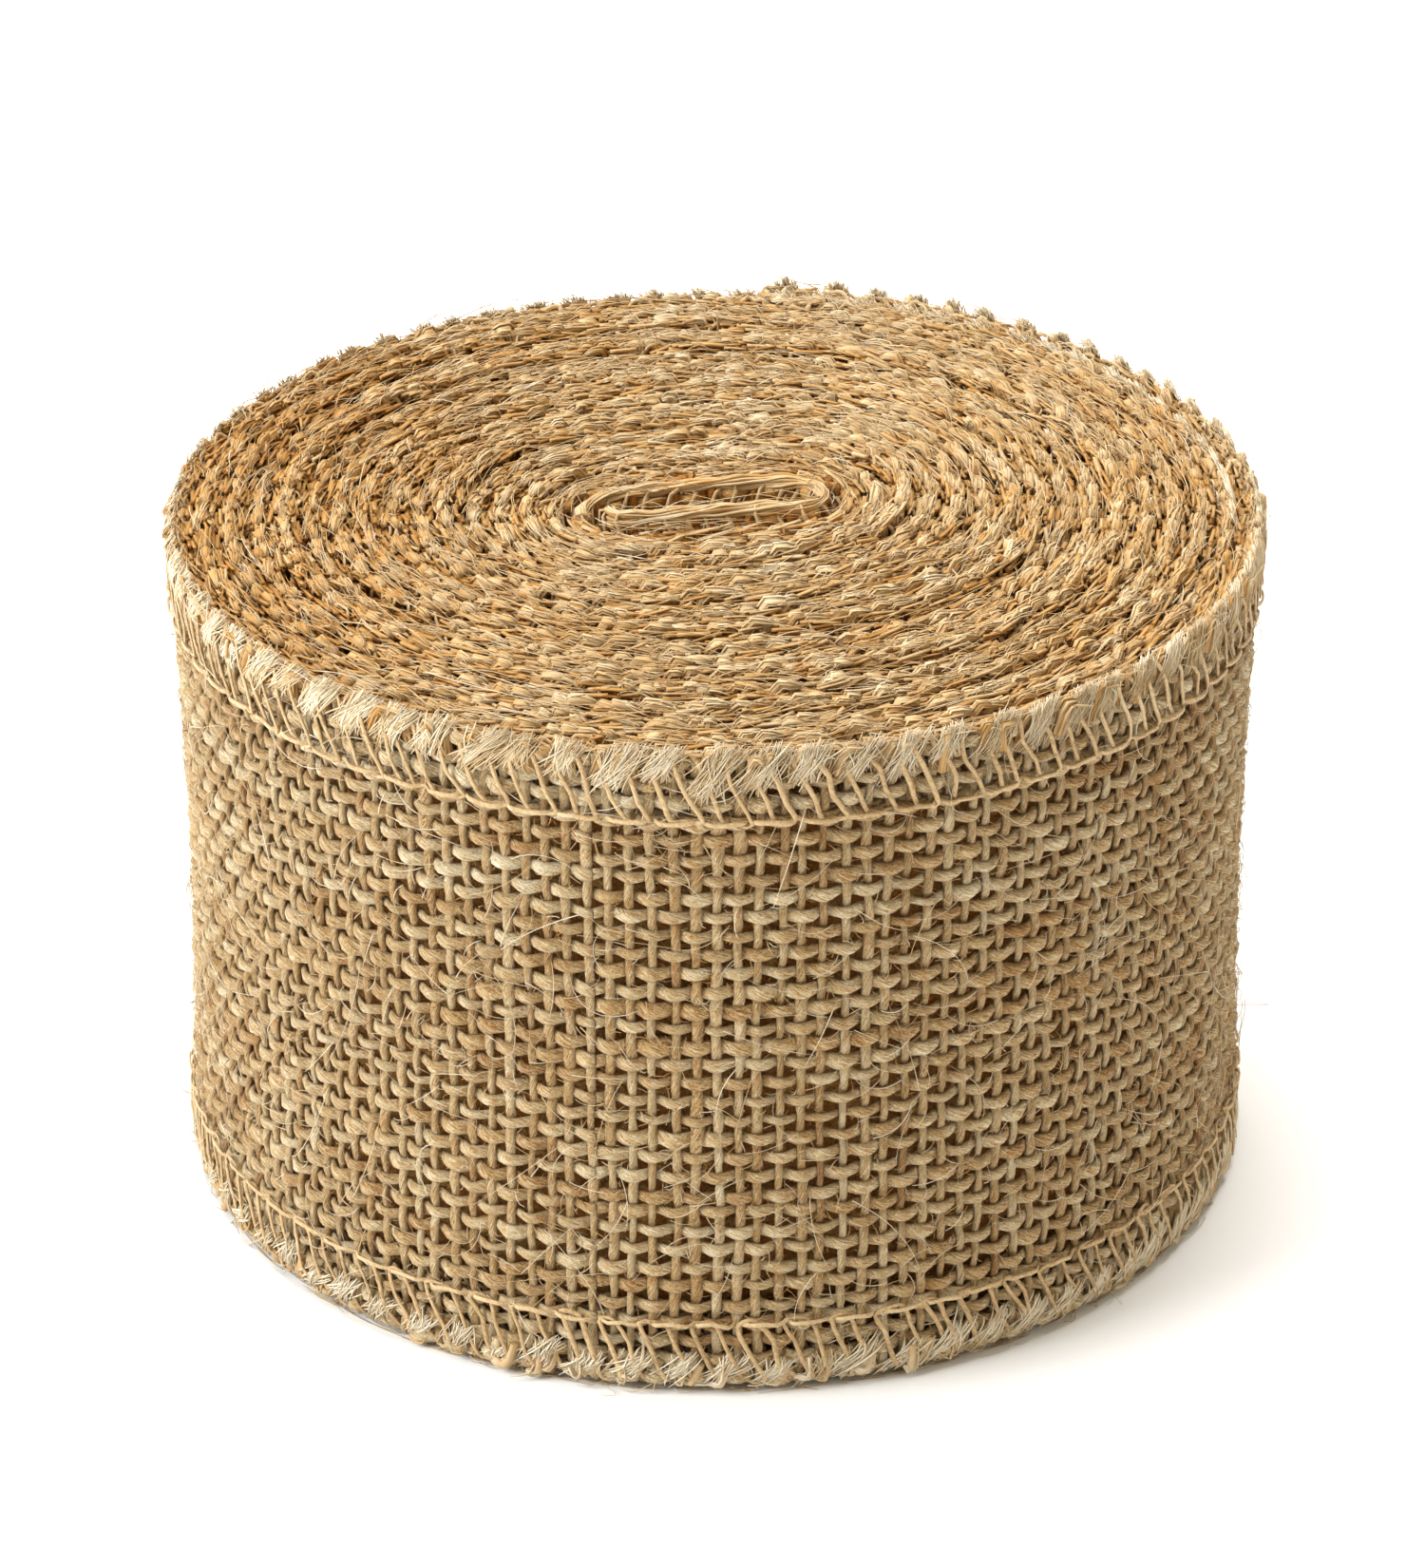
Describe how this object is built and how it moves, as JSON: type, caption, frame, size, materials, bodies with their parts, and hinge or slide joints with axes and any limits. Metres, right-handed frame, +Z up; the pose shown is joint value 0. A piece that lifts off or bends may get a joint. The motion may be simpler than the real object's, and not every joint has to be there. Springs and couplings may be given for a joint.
{
  "type": "ribbon roll",
  "caption": "Coreless roll of woven jute ribbon with overlocked edges, standing on one edge, wound around a flattened eye, with a free tail that peels open.",
  "frame": {"origin": "middle of the roll's footprint, on the surface it stands on", "axes": "+Z up along the roll's axis; -Y is the side away from the free end"},
  "size_m": [0.1164, 0.1174, 0.075],
  "materials": {
    "jute_cloth": "matte, coarse plain weave",
    "looper_thread": "soft slight sheen, looped over the edge",
    "needle_thread": "soft slight sheen"
  },
  "bodies": {
    "coil": {"coil_cloth": "jute_cloth", "coil_bottom_upper_looper": "looper_thread", "coil_bottom_lower_looper": "looper_thread", "coil_bottom_needle_thread": "needle_thread", "coil_top_upper_looper": "looper_thread", "coil_top_lower_looper": "looper_thread", "coil_top_needle_thread": "needle_thread"},
    "tail_1": {"tail_1_cloth": "jute_cloth", "tail_1_bottom_upper_looper": "looper_thread", "tail_1_bottom_lower_looper": "looper_thread", "tail_1_bottom_needle_thread": "needle_thread", "tail_1_top_upper_looper": "looper_thread", "tail_1_top_lower_looper": "looper_thread", "tail_1_top_needle_thread": "needle_thread"},
    "tail_2": {"tail_2_cloth": "jute_cloth", "tail_2_bottom_upper_looper": "looper_thread", "tail_2_bottom_lower_looper": "looper_thread", "tail_2_bottom_needle_thread": "needle_thread", "tail_2_top_upper_looper": "looper_thread", "tail_2_top_lower_looper": "looper_thread", "tail_2_top_needle_thread": "needle_thread"},
    "tail_3": {"tail_3_cloth": "jute_cloth", "tail_3_bottom_upper_looper": "looper_thread", "tail_3_bottom_lower_looper": "looper_thread", "tail_3_bottom_needle_thread": "needle_thread", "tail_3_top_upper_looper": "looper_thread", "tail_3_top_lower_looper": "looper_thread", "tail_3_top_needle_thread": "needle_thread"},
    "tail_4": {"tail_4_cloth": "jute_cloth", "tail_4_bottom_upper_looper": "looper_thread", "tail_4_bottom_lower_looper": "looper_thread", "tail_4_bottom_needle_thread": "needle_thread", "tail_4_top_upper_looper": "looper_thread", "tail_4_top_lower_looper": "looper_thread", "tail_4_top_needle_thread": "needle_thread"},
    "tail_5": {"tail_5_cloth": "jute_cloth", "tail_5_bottom_upper_looper": "looper_thread", "tail_5_bottom_lower_looper": "looper_thread", "tail_5_bottom_needle_thread": "needle_thread", "tail_5_top_upper_looper": "looper_thread", "tail_5_top_lower_looper": "looper_thread", "tail_5_top_needle_thread": "needle_thread"},
    "tail_6": {"tail_6_cloth": "jute_cloth", "tail_6_bottom_upper_looper": "looper_thread", "tail_6_bottom_lower_looper": "looper_thread", "tail_6_bottom_needle_thread": "needle_thread", "tail_6_top_upper_looper": "looper_thread", "tail_6_top_lower_looper": "looper_thread", "tail_6_top_needle_thread": "needle_thread"}
  },
  "joints": [
    {"name": "peel_1", "type": "hinge", "parent": "coil", "child": "tail_1", "pos_m": [0.05814, -0.00696, 0.0375], "axis": [0, 0, -1], "range_deg": [0, 15]},
    {"name": "peel_2", "type": "hinge", "parent": "tail_1", "child": "tail_2", "pos_m": [0.05786, 0.00847, 0.0375], "axis": [0, 0, -1], "range_deg": [0, 15]},
    {"name": "peel_3", "type": "hinge", "parent": "tail_2", "child": "tail_3", "pos_m": [0.05358, 0.02333, 0.0375], "axis": [0, 0, -1], "range_deg": [0, 15]},
    {"name": "peel_4", "type": "hinge", "parent": "tail_3", "child": "tail_4", "pos_m": [0.04558, 0.03662, 0.0375], "axis": [0, 0, -1], "range_deg": [0, 15]},
    {"name": "peel_5", "type": "hinge", "parent": "tail_4", "child": "tail_5", "pos_m": [0.03438, 0.04742, 0.0375], "axis": [0, 0, -1], "range_deg": [0, 15]},
    {"name": "peel_6", "type": "hinge", "parent": "tail_5", "child": "tail_6", "pos_m": [0.02073, 0.05498, 0.0375], "axis": [0, 0, -1], "range_deg": [0, 15]}
  ],
  "couplings": [
    {"joint": "peel_2", "follows": "peel_1", "ratio": 1},
    {"joint": "peel_3", "follows": "peel_1", "ratio": 1},
    {"joint": "peel_4", "follows": "peel_1", "ratio": 1},
    {"joint": "peel_5", "follows": "peel_1", "ratio": 1},
    {"joint": "peel_6", "follows": "peel_1", "ratio": 1}
  ]
}
